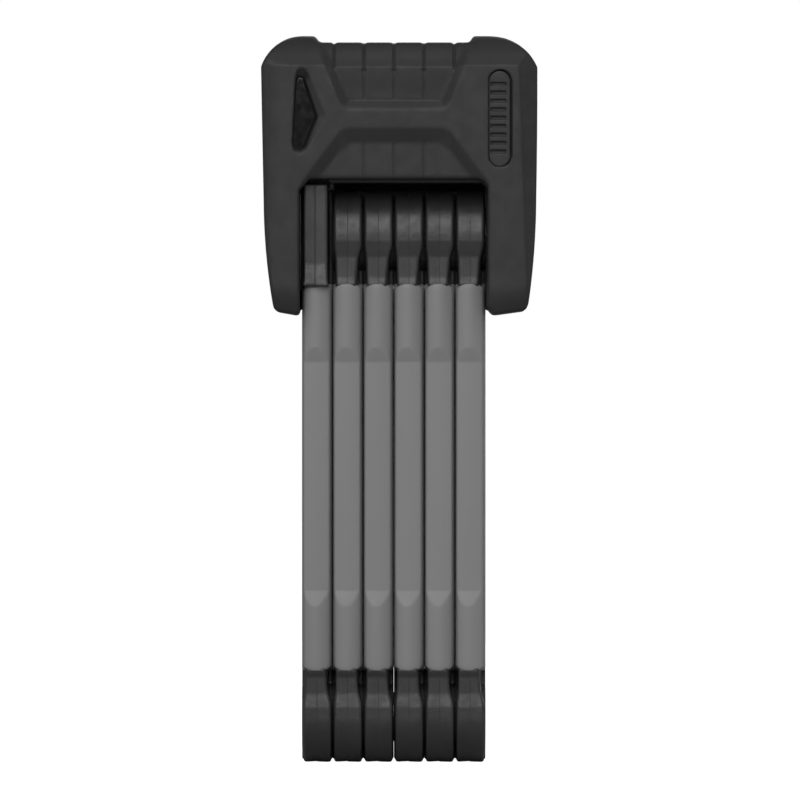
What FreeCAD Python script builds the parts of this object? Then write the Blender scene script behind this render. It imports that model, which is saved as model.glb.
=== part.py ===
"""Folding bike lock: a U-shaped lock head over a stack of six hinged steel bars.

Row frame, millimetres: +X to the right across the stack of bars, -Y to the front face, +Z up.
The origin is under the middle of the head, on the level of the bars' lower ends.
The bars are folded and the last one stands in the head's locking slot, with the bolt drawn back.
"""
import FreeCAD, Part
import math
import os

V = FreeCAD.Vector
X_AXIS = V(1, 0, 0)
Y_AXIS = V(0, 1, 0)
Z_AXIS = V(0, 0, 1)

# Stack of bars: bar 1 is pivoted in the right leg of the head, bar 6 is the locking bar.
BARS = 6
PITCH = 8.7
STACK_X = -1.57
LOW_PIVOT_Z = 13.0
HIGH_PIVOT_Z = 149.7

# Steel bar inside each cover.
STEEL_T = 5.5
STEEL_HALF_W = 10.2

# Plastic covers of a bar: a grey sleeve between two black end caps.
CAP_T = 8.4
SLEEVE_T = 8.1
COVER_R = 13.0
WAIST_HALF_W = 11.7
SLEEVE_LOW_Z = 26.5
SLEEVE_HIGH_Z = 135.9
LOW_RAMP_Z = (44.5, 49.0)
HIGH_RAMP_Z = (114.0, 118.3)
EDGE_CHAMFER = 1.0

# Rivets between neighbouring bars.
RIVET_R = 4.5
RIVET_RUN = 0.05
HEAD_R = 7.0
CAP_BORE_R = 7.3
AXIAL_GAP = 0.2
HEAD_T = 1.0

# Locking end of bar 6.
TIP_X = -23.6
TIP_T = 4.5
TIP_HALF_W = 7.4
TIP_LOW_Z = 138.0
TIP_TOP_Z = 183.0
TIP_CHAMFER = 2.0
TIP_HOLE_R = 3.7
TIP_COVER_X = -23.65
TIP_COVER_T = 6.3
TIP_COVER_NECK_HALF_W = 8.4
TIP_COVER_COLLAR_Z = 139.5
TIP_COVER_SHOULDER_Z = 155.0
TIP_COVER_NECK_Z = 160.0
TIP_COVER_TOP_Z = 164.5

# Head outline: (x, z) of its corners; the covers meet on the plane y = 0.
HEAD_HALF_DEPTH = 20.5
WALL = 2.2
CEILING_Z = 165.0
POCKET_X = (-28.5, 24.8)
LEG_BOTTOM_Z = 127.4
TOP_Z = 206.6
RECESS_TOP_Z = 204.6
FACE_TOP_Z = 197.8
TOP_HALF_DEPTH = 11.5
FACE_X = (-35.6, 34.6)
EDGE_HALF_DEPTH = 15.0
HEAD_LEFT_X = -39.35
HEAD_RIGHT_X = 39.35
PROFILE_SPARE = 5.0

# Decoration of the covers.
PANEL_DEPTH = 1.2
GROOVE_X = (-18.8, -10.3, -1.7, 6.8, 15.4)
GROOVE_R = 0.45
WINDOW_DEPTH = 1.5
WINDOW_INSERT_T = 0.8
WINDOW = ((-29.9, 195.8), (-28.2, 197.2), (-21.9, 184.4), (-27.4, 174.6), (-29.0, 173.2), (-30.6, 175.0))
BADGE_X = 28.35
BADGE_Z = (169.9, 197.5)
BADGE_R = 3.25
BADGE_GROOVE = 0.35
BADGE_POCKET_DEPTH = 1.2
BADGE_T = 0.85
BADGE_RIBS = 5
BADGE_RIB_R = 0.35
BADGE_RIB_SPACING = 3.4
BADGE_RIB_END = 1.5

# Steel lock case inside the covers, its locking slot and the bolt train.
CASE_HALF_DEPTH = 13.5
CASE_TOP_HALF_DEPTH = 9.0
CASE_SHOULDER_Z = 201.2
CHEEK_X = 27.1
CASE_OUTLINE = (
    (-31.2, 130.2), (-33.0, 130.6), (-34.9, 142.5), (-35.9, 155.0), (-36.8, 196.5), (-33.6, 201.3),
    (-28.0, 204.0), (-25.6, 204.0), (-22.6, 202.0), (19.7, 202.0), (22.5, 204.0), (27.6, 204.0),
    (33.4, 201.2), (36.8, 196.5), (35.9, 155.0), (35.0, 142.5), (33.2, 130.6), (27.4, 130.0),
    (CHEEK_X, 130.4), (CHEEK_X, 164.0), (23.8, 167.4), (-26.2, 167.4), (-30.8, 162.8), (-30.8, 130.6),
)
BASE_RIVET_END_X = 34.9
SLOT_X = (-27.2, -20.1)
SLOT_FRONT_Y = -8.7
SLOT_TOP_Z = 184.6
KEY_X = 3.0
BOLT_Z = 174.3
BOLT_R = 3.2
BOLT_GAP = 0.3
BOLT_REST_X = -19.7
BOLT_TRAVEL = 9.0
BOLT_SOCKET_DEPTH = 2.6
YOKE_T = 6.4
YOKE_HALF_W = 10.3
YOKE_WALL = 2.6
CRANK_R = BOLT_TRAVEL / math.sqrt(2.0)
CRANK_PIN_R = 2.0
CRANK_GAP = 0.4
CAM_R = 8.5
CAM_Z = (178.2, 180.2)
CYLINDER_Z = (181.0, 201.8)
CYLINDER_R = 10.0
PLUG_R = 7.0
PLUG_RUN = 0.05
DISC_R = 5.0
DISC_BORE_R = 5.2
DISC_T = 1.4
DISC_PITCH = 2.0
DISCS = 8
DISC_LOW_Z = 184.0
KEYWAY = (2.4, 7.6)
SIDEBAR_R = 0.7
SIDEBAR_OFFSET = 5.75
RETAINER_R = 1.5
RETAINER_BITE = 2.0
RETAINER_Z = 191.0

# Sliding keyhole cover in its frame on top of the head.
SHUTTER_HALF_L = 6.5
SHUTTER_TRAVEL = 11.5
SHUTTER_END_GAP = 0.3
FRAME_HALF_W = 8.2
FRAME_END = 2.0
FRAME_FLOOR_T = 0.6
RAIL_Z = 203.8
RAIL_HALF_W = 6.6
MOUTH_HALF_W = 5.6
KEY_HOLE_R = 5.5
THUMB_RIBS = 3

# Long screws that hold the two covers on the case.
SCREWS = ((-31.5, 192.0), (31.0, 192.0), (-32.0, 168.0), (31.0, 138.5))
SCREW_R = 1.5
SCREW_HEAD_R = 2.8
SCREW_HEAD_T = 1.6
SCREW_HOLE_R = 1.6
BOSS_R = 3.8
SCREW_FRONT_Y = -17.0


def bar_x(bar):
    return STACK_X + PITCH * (0.5 * (BARS + 1) - bar)


def box(x_low, x_high, y_low, y_high, z_low, z_high):
    return Part.makeBox(x_high - x_low, y_high - y_low, z_high - z_low, V(x_low, y_low, z_low))


def rod_x(radius, x_low, x_high, y, z):
    return Part.makeCylinder(radius, x_high - x_low, V(x_low, y, z), X_AXIS)


def rod_y(radius, y_low, y_high, x, z):
    return Part.makeCylinder(radius, y_high - y_low, V(x, y_low, z), Y_AXIS)


def rod_z(radius, z_low, z_high, x, y):
    return Part.makeCylinder(radius, z_high - z_low, V(x, y, z_low), Z_AXIS)


def prism(points, direction):
    """A solid swept along a vector from the closed polygon through the given 3-D points."""
    return Part.Face(Part.makePolygon(points + points[:1])).extrude(direction)


def slab_x(outline, x_middle, thickness):
    """A plate square to X whose (y, z) outline is given."""
    points = [V(x_middle - 0.5 * thickness, y, z) for y, z in outline]
    return prism(points, V(thickness, 0, 0))


def slab_y(outline, y_low, y_high):
    """A plate square to Y whose (x, z) outline is given."""
    points = [V(x, y_low, z) for x, z in outline]
    return prism(points, V(0, y_high - y_low, 0))


def save(name, shape):
    shape.exportStep(os.path.join("parts", name + ".step"))


# ---------------------------------------------------------------------------------------- bars

def stadium(x_middle, thickness, radius):
    """A flat bar with both ends round about the two pivot axes."""
    x_low = x_middle - 0.5 * thickness
    x_high = x_middle + 0.5 * thickness
    solid = box(x_low, x_high, -radius, radius, LOW_PIVOT_Z, HIGH_PIVOT_Z)
    for z in (LOW_PIVOT_Z, HIGH_PIVOT_Z):
        solid = solid.fuse(rod_x(radius, x_low, x_high, 0, z))
    return solid.removeSplitter()


def rivet_z(bar):
    """Height of the pivot between a bar and the next one."""
    return LOW_PIVOT_Z if bar % 2 else HIGH_PIVOT_Z


def steel_bar(bar):
    """The steel core: tight on the rivet that it carries, running on the one before it."""
    x = bar_x(bar)
    reach = STEEL_T
    running = rod_x(RIVET_R + RIVET_RUN, x - reach, x + reach, 0, rivet_z(bar - 1))
    if bar < BARS:
        tight = rod_x(RIVET_R, x - reach, x + reach, 0, rivet_z(bar))
        return stadium(x, STEEL_T, STEEL_HALF_W).cut(tight).cut(running)
    half = 0.5 * STEEL_T
    plate = stadium(x, STEEL_T, STEEL_HALF_W)
    plate = plate.cut(box(x - half, x + half, -COVER_R, COVER_R, TIP_LOW_Z, TIP_TOP_Z))
    neck_z = TIP_TOP_Z - TIP_CHAMFER
    tip = slab_x(
        (
            (-TIP_HALF_W, TIP_LOW_Z),
            (TIP_HALF_W, TIP_LOW_Z),
            (TIP_HALF_W, neck_z),
            (TIP_HALF_W - TIP_CHAMFER, TIP_TOP_Z),
            (TIP_CHAMFER - TIP_HALF_W, TIP_TOP_Z),
            (-TIP_HALF_W, neck_z),
        ),
        TIP_X,
        TIP_T,
    )
    hole = rod_x(TIP_HOLE_R, x - reach, x + reach, 0, BOLT_Z)
    return plate.fuse(tip).removeSplitter().cut(hole).cut(running)


def bevel_long_edges(solid, size):
    """Chamfer the straight edges that run up the bar."""
    edges = [
        edge for edge in solid.Edges
        if edge.Curve.TypeId == "Part::GeomLine" and abs(edge.tangentAt(edge.FirstParameter).z) > 0.99
    ]
    return solid.makeChamfer(size, edges)


def sleeve(bar):
    """The grey sleeve, narrower between its two ramps."""
    outline = (
        (COVER_R, SLEEVE_LOW_Z),
        (COVER_R, LOW_RAMP_Z[0]),
        (WAIST_HALF_W, LOW_RAMP_Z[1]),
        (WAIST_HALF_W, HIGH_RAMP_Z[0]),
        (COVER_R, HIGH_RAMP_Z[1]),
        (COVER_R, SLEEVE_HIGH_Z),
    )
    mirrored = tuple((-y, z) for y, z in reversed(outline))
    body = slab_x(outline + mirrored, bar_x(bar), SLEEVE_T)
    body = bevel_long_edges(body, EDGE_CHAMFER)
    return body.cut(stadium(bar_x(bar), STEEL_T, STEEL_HALF_W))


def cap(bar, low_z, high_z, pivot_z):
    """A black end cap: the outer shape of the bar's end with a pocket for the steel core."""
    x = bar_x(bar)
    outer = bevel_long_edges(stadium(x, CAP_T, COVER_R), EDGE_CHAMFER)
    outer = outer.common(box(x - CAP_T, x + CAP_T, -COVER_R, COVER_R, low_z, high_z))
    bore = rod_x(CAP_BORE_R, x - CAP_T, x + CAP_T, 0, pivot_z)
    return outer.cut(stadium(x, STEEL_T, STEEL_HALF_W)).cut(bore)


def lower_cap(bar):
    return cap(bar, LOW_PIVOT_Z - COVER_R, SLEEVE_LOW_Z, LOW_PIVOT_Z)


def upper_cap(bar):
    if bar < BARS:
        return cap(bar, SLEEVE_HIGH_Z, HIGH_PIVOT_Z + COVER_R, HIGH_PIVOT_Z)
    outline = (
        (-COVER_R, SLEEVE_HIGH_Z),
        (COVER_R, SLEEVE_HIGH_Z),
        (COVER_R, TIP_COVER_SHOULDER_Z),
        (TIP_COVER_NECK_HALF_W, TIP_COVER_NECK_Z),
        (TIP_COVER_NECK_HALF_W, TIP_COVER_TOP_Z),
        (-TIP_COVER_NECK_HALF_W, TIP_COVER_TOP_Z),
        (-TIP_COVER_NECK_HALF_W, TIP_COVER_NECK_Z),
        (-COVER_R, TIP_COVER_SHOULDER_Z),
    )
    collar_outline = (
        (-COVER_R, SLEEVE_HIGH_Z),
        (COVER_R, SLEEVE_HIGH_Z),
        (COVER_R, TIP_COVER_COLLAR_Z),
        (-COVER_R, TIP_COVER_COLLAR_Z),
    )
    collar = bevel_long_edges(slab_x(collar_outline, bar_x(bar), SLEEVE_T), EDGE_CHAMFER)
    block = slab_x(outline, TIP_COVER_X, TIP_COVER_T).fuse(collar)
    return block.removeSplitter().cut(steel_bar(bar))


def rivet(bar):
    """Fixed in its own bar; its shank and far head run with clearance in the next bar."""
    x = bar_x(bar)
    next_x = bar_x(bar + 1)
    z = rivet_z(bar)
    near_face = x + 0.5 * STEEL_T
    far_face = next_x - 0.5 * STEEL_T - AXIAL_GAP
    shank = rod_x(RIVET_R, far_face - HEAD_T, near_face + HEAD_T, 0, z)
    near_head = rod_x(HEAD_R, near_face, near_face + HEAD_T, 0, z)
    far_head = rod_x(HEAD_R, far_face - HEAD_T, far_face, 0, z)
    return shank.fuse(near_head).fuse(far_head).removeSplitter()


def washer(x_low, x_high, z):
    return rod_x(HEAD_R, x_low, x_high, 0, z).cut(rod_x(RIVET_R, x_low, x_high, 0, z))


def bar_washer(bar):
    """Spacer on the rivet between two steel bars, seated on the bar that carries the rivet."""
    next_face = bar_x(bar + 1) + 0.5 * STEEL_T + AXIAL_GAP
    return washer(next_face, bar_x(bar) - 0.5 * STEEL_T, rivet_z(bar))


# ---------------------------------------------------------------------------------------- head

def head_outline(inset):
    """Front outline of the head as a closed wire on y = 0, moved inwards by the inset."""
    pieces = []

    def line(start, end):
        pieces.append(Part.LineSegment(V(start[0], 0, start[1]), V(end[0], 0, end[1])).toShape())

    def arc(start, middle, end):
        ends = [V(x, 0, z) for x, z in (start, middle, end)]
        pieces.append(Part.Arc(*ends).toShape())

    left_in, right_in = POCKET_X
    arc((-35.4, 130.5), (-37.5, 142.5), (-38.5, 155.0))
    line((-38.5, 155.0), (HEAD_LEFT_X, 197.0))
    arc((HEAD_LEFT_X, 197.0), (-36.4, 203.2), (-28.0, TOP_Z))
    line((-28.0, TOP_Z), (-24.6, TOP_Z))
    line((-24.6, TOP_Z), (-21.6, RECESS_TOP_Z))
    line((-21.6, RECESS_TOP_Z), (18.7, RECESS_TOP_Z))
    line((18.7, RECESS_TOP_Z), (21.4, TOP_Z))
    line((21.4, TOP_Z), (27.6, TOP_Z))
    arc((27.6, TOP_Z), (36.1, 202.9), (HEAD_RIGHT_X, 196.5))
    line((HEAD_RIGHT_X, 196.5), (38.5, 155.0))
    arc((38.5, 155.0), (37.6, 142.5), (35.7, 130.5))
    line((35.7, 130.5), (34.6, 128.4))
    line((34.6, 128.4), (26.8, LEG_BOTTOM_Z))
    line((26.8, LEG_BOTTOM_Z), (right_in, 129.2))
    line((right_in, 129.2), (right_in, CEILING_Z - 2.9))
    line((right_in, CEILING_Z - 2.9), (right_in - 2.9, CEILING_Z))
    line((right_in - 2.9, CEILING_Z), (left_in + 3.4, CEILING_Z))
    line((left_in + 3.4, CEILING_Z), (left_in, CEILING_Z - 3.4))
    line((left_in, CEILING_Z - 3.4), (left_in, 128.9))
    line((left_in, 128.9), (-29.6, LEG_BOTTOM_Z))
    line((-29.6, LEG_BOTTOM_Z), (-34.8, 128.6))
    line((-34.8, 128.6), (-35.4, 130.5))
    wire = Part.Wire(Part.__sortEdges__(pieces))
    if not inset:
        return wire
    moved = Part.Face(wire).makeOffset2D(-inset, 2)
    return moved.OuterWire if moved.ShapeType == "Face" else moved.Wires[0]


def head_block(inset):
    """The head as one solid: its outline, its rounded top and its bevelled sides in common."""
    depth = HEAD_HALF_DEPTH - inset
    outline = Part.Face(head_outline(inset)).extrude(V(0, 2 * depth, 0))
    outline.translate(V(0, -depth, 0))
    top = TOP_Z - inset
    x_low = HEAD_LEFT_X - PROFILE_SPARE
    x_high = HEAD_RIGHT_X + PROFILE_SPARE
    bottom = LEG_BOTTOM_Z - PROFILE_SPARE
    face_top = FACE_TOP_Z - 0.5 * inset
    edge_y = TOP_HALF_DEPTH - 0.5 * inset
    bulge = V(x_low, -0.5 * (depth + edge_y) - 1.6, 0.5 * (face_top + top) + 1.6)
    mirror = V(bulge.x, -bulge.y, bulge.z)
    side_profile = Part.Wire([
        Part.makeLine(V(x_low, -depth, bottom), V(x_low, -depth, face_top)),
        Part.Arc(V(x_low, -depth, face_top), bulge, V(x_low, -edge_y, top)).toShape(),
        Part.makeLine(V(x_low, -edge_y, top), V(x_low, edge_y, top)),
        Part.Arc(V(x_low, edge_y, top), mirror, V(x_low, depth, face_top)).toShape(),
        Part.makeLine(V(x_low, depth, face_top), V(x_low, depth, bottom)),
        Part.makeLine(V(x_low, depth, bottom), V(x_low, -depth, bottom)),
    ])
    rounded_top = Part.Face(side_profile).extrude(V(x_high - x_low, 0, 0))
    flank = EDGE_HALF_DEPTH - 0.5 * inset
    left, right = HEAD_LEFT_X + inset, HEAD_RIGHT_X - inset
    face_left, face_right = FACE_X[0] + 0.5 * inset, FACE_X[1] - 0.5 * inset
    plan = (
        (left, -flank), (face_left, -depth), (face_right, -depth), (right, -flank),
        (right, flank), (face_right, depth), (face_left, depth), (left, flank),
    )
    bevelled = prism([V(x, y, bottom) for x, y in plan], V(0, 0, TOP_Z - bottom + PROFILE_SPARE))
    return outline.common(rounded_top).common(bevelled)


def panel_recesses():
    """The two shallow fields above and below the raised cross bar, on the front and the rear."""
    upper = ((-21.1, 197.8), (-16.2, 188.7), (13.4, 188.7), (18.0, 197.8), (18.0, 210.0), (-21.1, 210.0))
    lower = ((-17.1, 180.1), (-27.6, 165.3), (-27.6, 162.0), (24.8, 162.0), (24.8, 165.9), (13.7, 180.1))
    cuts = []
    for y_low, y_high in ((-30.0, PANEL_DEPTH - HEAD_HALF_DEPTH), (HEAD_HALF_DEPTH - PANEL_DEPTH, 30.0)):
        for outline in (upper, lower):
            cuts.append(slab_y(outline, y_low, y_high))
    return cuts


def panel_grooves():
    """Fine upright grooves in the floors of the recesses."""
    floor_y = HEAD_HALF_DEPTH - PANEL_DEPTH
    grooves = []
    for x in GROOVE_X[1:-1]:
        for y in (-floor_y, floor_y):
            grooves.append(rod_z(GROOVE_R, CEILING_Z - 1.0, 179.0, x, y))
            grooves.append(rod_z(GROOVE_R, 189.5, TOP_Z, x, y))
    return grooves


def slot_space():
    """The locking slot: shut in front, open to the rear so that the tip of bar 6 can swing out."""
    return box(SLOT_X[0], SLOT_X[1], SLOT_FRONT_Y, 30.0, 160.0, SLOT_TOP_Z)


def pill(y_low, y_high, radius):
    low, high = BADGE_Z[0] + BADGE_R, BADGE_Z[1] - BADGE_R
    body = box(BADGE_X - radius, BADGE_X + radius, y_low, y_high, low, high)
    for z in (low, high):
        body = body.fuse(rod_y(radius, y_low, y_high, BADGE_X, z))
    return body.removeSplitter()


def screw_holes(radius, y_low, y_high):
    return [rod_y(radius, y_low, y_high, x, z) for x, z in SCREWS]


def frame_ends():
    """X limits of the frame that holds the keyhole cover."""
    low = KEY_X - SHUTTER_HALF_L - SHUTTER_TRAVEL - SHUTTER_END_GAP - FRAME_END
    high = KEY_X + SHUTTER_HALF_L + SHUTTER_END_GAP + FRAME_END
    return low, high


def cover_pair():
    """The front and rear covers: the hollow head split on y = 0."""
    shell = head_block(0.0).cut(head_block(WALL))
    bosses = screw_holes(BOSS_R, -HEAD_HALF_DEPTH + 1.0, -CASE_HALF_DEPTH)
    bosses += screw_holes(BOSS_R, CASE_HALF_DEPTH, HEAD_HALF_DEPTH - 1.0)
    inside = head_block(1.0)
    shell = shell.multiFuse([boss.common(inside) for boss in bosses]).removeSplitter()
    low, high = frame_ends()
    cuts = panel_recesses() + panel_grooves() + [slot_space()]
    cuts.append(box(low, high, -FRAME_HALF_W, FRAME_HALF_W, RECESS_TOP_Z - WALL - 1.0, TOP_Z + 1.0))
    cuts.append(rod_x(CAP_BORE_R, POCKET_X[1] - 1.0, POCKET_X[1] + WALL + 0.5, 0, HIGH_PIVOT_Z))
    for cutter in cuts:
        shell = shell.cut(cutter)
    front = shell.common(box(-50, 50, -30, 0, 100, 220))
    rear = shell.common(box(-50, 50, 0, 30, 100, 220))
    front_y = -HEAD_HALF_DEPTH
    front = front.cut(slab_y(WINDOW, front_y - 1.0, front_y + WINDOW_DEPTH))
    front = front.cut(pill(front_y - 1.0, front_y + BADGE_POCKET_DEPTH, BADGE_R))
    for hole in screw_holes(SCREW_R, SCREW_FRONT_Y, 0.0):
        front = front.cut(hole)
    rear_y = HEAD_HALF_DEPTH
    for hole in screw_holes(SCREW_HOLE_R, 0.0, rear_y + 1.0):
        rear = rear.cut(hole)
    for recess in screw_holes(SCREW_HEAD_R + 0.1, rear_y - SCREW_HEAD_T, rear_y + 1.0):
        rear = rear.cut(recess)
    return front, rear


def window_insert():
    """Glossy insert on the floor of the kite-shaped window."""
    y = WINDOW_DEPTH - HEAD_HALF_DEPTH
    return slab_y(WINDOW, y - WINDOW_INSERT_T, y)


def badge_plate():
    """Plain pill-shaped plate with a few short ribs, one above the other."""
    y_back = BADGE_POCKET_DEPTH - HEAD_HALF_DEPTH
    y_face = y_back - BADGE_T
    plate = pill(y_face, y_back, BADGE_R - BADGE_GROOVE)
    middle = 0.5 * (BADGE_Z[0] + BADGE_Z[1])
    for index in range(BADGE_RIBS):
        z = middle + BADGE_RIB_SPACING * (index - 0.5 * (BADGE_RIBS - 1))
        half = BADGE_R - BADGE_RIB_END
        plate = plate.fuse(rod_x(BADGE_RIB_R, BADGE_X - half, BADGE_X + half, y_face, z))
    return plate.removeSplitter()


def base_rivet():
    """Fixed in the right leg of the case; bar 1 runs on it."""
    far_face = bar_x(1) - 0.5 * STEEL_T - AXIAL_GAP
    shank = rod_x(RIVET_R, far_face - HEAD_T, BASE_RIVET_END_X, 0, HIGH_PIVOT_Z)
    return shank.fuse(rod_x(HEAD_R, far_face - HEAD_T, far_face, 0, HIGH_PIVOT_Z)).removeSplitter()


def base_washer():
    return washer(bar_x(1) + 0.5 * STEEL_T + AXIAL_GAP, CHEEK_X, HIGH_PIVOT_Z)


def yoke_x():
    """X limits of the yoke at rest."""
    half = CRANK_PIN_R + CRANK_GAP + YOKE_WALL
    middle = KEY_X + 0.5 * BOLT_TRAVEL
    return middle - half, middle + half


def lock_case():
    """One cast steel body: a block over the bars and a cheek down each leg."""
    casting = slab_y(CASE_OUTLINE, -CASE_HALF_DEPTH, CASE_HALF_DEPTH)
    bottom = LEG_BOTTOM_Z
    side = (
        (-CASE_HALF_DEPTH, bottom),
        (-CASE_HALF_DEPTH, CASE_SHOULDER_Z),
        (-CASE_TOP_HALF_DEPTH, TOP_Z),
        (CASE_TOP_HALF_DEPTH, TOP_Z),
        (CASE_HALF_DEPTH, CASE_SHOULDER_Z),
        (CASE_HALF_DEPTH, bottom),
    )
    case = casting.common(slab_x(side, 0.0, 2.0 * HEAD_RIGHT_X))
    low, high = yoke_x()
    half_t = 0.5 * YOKE_T
    cuts = [
        slot_space(),
        rod_x(BOLT_R + BOLT_GAP, SLOT_X[0] - BOLT_SOCKET_DEPTH, low, 0, BOLT_Z),
        box(
            low - BOLT_TRAVEL - BOLT_GAP, high + BOLT_GAP,
            -YOKE_HALF_W - BOLT_GAP, YOKE_HALF_W + BOLT_GAP,
            BOLT_Z - half_t - BOLT_GAP, CAM_Z[0] - BOLT_GAP,
        ),
        rod_z(CAM_R + BOLT_GAP, CAM_Z[0] - 1.0, CYLINDER_Z[0], KEY_X, 0),
        rod_z(CYLINDER_R, CYLINDER_Z[0], TOP_Z, KEY_X, 0),
        rod_x(RIVET_R, CHEEK_X, BASE_RIVET_END_X, 0, HIGH_PIVOT_Z),
        retainer(),
    ]
    cuts += screw_holes(SCREW_HOLE_R, -30.0, 30.0)
    for cutter in cuts:
        case = case.cut(cutter)
    return case


def retainer():
    """Pin from the rear of the case into the wall of the lock cylinder, which it keeps in place."""
    return rod_y(RETAINER_R, CYLINDER_R - RETAINER_BITE, CASE_HALF_DEPTH, KEY_X, RETAINER_Z)


def cover_screws():
    """Four long screws through the rear cover and the case into the front cover."""
    seat_y = HEAD_HALF_DEPTH - SCREW_HEAD_T
    screws = []
    for x, z in SCREWS:
        shank = rod_y(SCREW_R, SCREW_FRONT_Y, seat_y, x, z)
        head = rod_y(SCREW_HEAD_R, seat_y, HEAD_HALF_DEPTH - 0.2, x, z)
        socket = rod_y(1.2, HEAD_HALF_DEPTH - 1.2, HEAD_HALF_DEPTH, x, z)
        screws.append(shank.fuse(head).removeSplitter().cut(socket))
    return Part.makeCompound(screws)


# ------------------------------------------------------------------------------- lock cylinder

def cylinder_body():
    low, high = CYLINDER_Z
    body = rod_z(CYLINDER_R, low, high, KEY_X, 0)
    return body.cut(rod_z(PLUG_R + PLUG_RUN, low, high, KEY_X, 0)).cut(retainer())


def keyway(z_low, z_high):
    half_x, half_y = 0.5 * KEYWAY[0], 0.5 * KEYWAY[1]
    return box(KEY_X - half_x, KEY_X + half_x, -half_y, half_y, z_low, z_high)


def sidebar():
    """Rod in the wall of the plug that drops into the discs when they line up."""
    return rod_z(SIDEBAR_R, DISC_LOW_Z, DISC_LOW_Z + DISCS * DISC_PITCH, KEY_X + SIDEBAR_OFFSET, 0)


def key_plug():
    """The part that the key turns, bored out for its stack of discs."""
    high = CYLINDER_Z[1]
    plug = rod_z(PLUG_R, CAM_Z[1], high, KEY_X, 0)
    disc_top = DISC_LOW_Z + DISCS * DISC_PITCH
    plug = plug.cut(rod_z(DISC_BORE_R, DISC_LOW_Z, disc_top, KEY_X, 0)).cut(sidebar())
    return plug.cut(keyway(disc_top - 0.1, high + 1.0))


def detainer_discs():
    discs = []
    for index in range(DISCS):
        z = DISC_LOW_Z + index * DISC_PITCH + 0.5 * (DISC_PITCH - DISC_T)
        discs.append(rod_z(DISC_R, z, z + DISC_T, KEY_X, 0).cut(keyway(z - 1.0, z + DISC_PITCH)))
    return Part.makeCompound(discs)


def plug_cam():
    """Crank disc under the plug, with the eccentric pin that moves the yoke."""
    disc = rod_z(CAM_R, CAM_Z[0], CAM_Z[1], KEY_X, 0)
    reach = CRANK_R / math.sqrt(2.0)
    pin = rod_z(CRANK_PIN_R, BOLT_Z - 0.5 * YOKE_T + 1.2, CAM_Z[0] + 0.1, KEY_X + reach, reach)
    return disc.fuse(pin).removeSplitter()


def locking_bolt():
    """Round bolt with a slotted yoke; the crank pin slides across in the slot."""
    low, high = yoke_x()
    half_t = 0.5 * YOKE_T
    yoke = box(low, high, -YOKE_HALF_W, YOKE_HALF_W, BOLT_Z - half_t, BOLT_Z + half_t)
    shank = rod_x(BOLT_R, BOLT_REST_X, low + 1.0, 0, BOLT_Z)
    slot_half = CRANK_PIN_R + CRANK_GAP
    middle = 0.5 * (low + high)
    end_y = CRANK_R + slot_half
    slot = box(
        middle - slot_half, middle + slot_half, -1.0, end_y,
        BOLT_Z - half_t + 0.8, BOLT_Z + half_t + 1.0,
    )
    return yoke.fuse(shank).removeSplitter().cut(slot)


# ------------------------------------------------------------------------------- keyhole cover

def shutter_frame():
    """Plate in the top of the head with a keyed groove for the keyhole cover."""
    low, high = frame_ends()
    floor_z = RECESS_TOP_Z - WALL
    groove_z = floor_z + FRAME_FLOOR_T
    plate = box(low, high, -FRAME_HALF_W, FRAME_HALF_W, floor_z, RECESS_TOP_Z)
    inner_low, inner_high = low + FRAME_END, high - FRAME_END
    plate = plate.cut(box(inner_low, inner_high, -RAIL_HALF_W, RAIL_HALF_W, groove_z, RAIL_Z))
    plate = plate.cut(box(inner_low, inner_high, -MOUTH_HALF_W, MOUTH_HALF_W, groove_z, TOP_Z))
    return plate.cut(rod_z(KEY_HOLE_R, floor_z - 1.0, TOP_Z, KEY_X, 0))


def keyhole_shutter():
    """The keyhole cover, closed over the keyhole; it slides to the left."""
    low, high = KEY_X - SHUTTER_HALF_L, KEY_X + SHUTTER_HALF_L
    floor_z = RECESS_TOP_Z - WALL + FRAME_FLOOR_T
    foot = box(low, high, 0.3 - RAIL_HALF_W, RAIL_HALF_W - 0.3, floor_z + 0.1, RAIL_Z - 0.2)
    top = box(low, high, 0.3 - MOUTH_HALF_W, MOUTH_HALF_W - 0.3, RAIL_Z - 0.2, RECESS_TOP_Z - 0.1)
    shutter = foot.fuse(top)
    for index in range(THUMB_RIBS):
        x = KEY_X + 2.2 * (index - 0.5 * (THUMB_RIBS - 1))
        rib = box(x - 0.45, x + 0.45, -4.2, 4.2, RECESS_TOP_Z - 0.2, RECESS_TOP_Z + 0.6)
        shutter = shutter.fuse(rib)
    return shutter.removeSplitter()


def main():
    os.makedirs("parts", exist_ok=True)
    for bar in range(1, BARS + 1):
        save(f"steel_bar_{bar}", steel_bar(bar))
        save(f"sleeve_{bar}", sleeve(bar))
        save(f"upper_cap_{bar}", upper_cap(bar))
        save(f"lower_cap_{bar}", lower_cap(bar))
    for bar in range(1, BARS):
        save(f"rivet_{bar}", rivet(bar))
        save(f"rivet_washer_{bar}", bar_washer(bar))
    front, rear = cover_pair()
    save("front_cover", front)
    save("rear_cover", rear)
    save("window_insert", window_insert())
    save("badge_plate", badge_plate())
    save("lock_case", lock_case())
    save("base_rivet", base_rivet())
    save("base_washer", base_washer())
    save("cover_screws", cover_screws())
    save("cylinder_body", cylinder_body())
    save("cylinder_pin", retainer())
    save("key_plug", key_plug())
    save("detainer_discs", detainer_discs())
    save("sidebar", sidebar())
    save("plug_cam", plug_cam())
    save("locking_bolt", locking_bolt())
    save("shutter_frame", shutter_frame())
    save("keyhole_shutter", keyhole_shutter())


main()
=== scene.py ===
"""Outer pieces, looks, lights and camera of the folding bike lock. Lengths are millimetres unless said."""
import functools
import math

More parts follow.
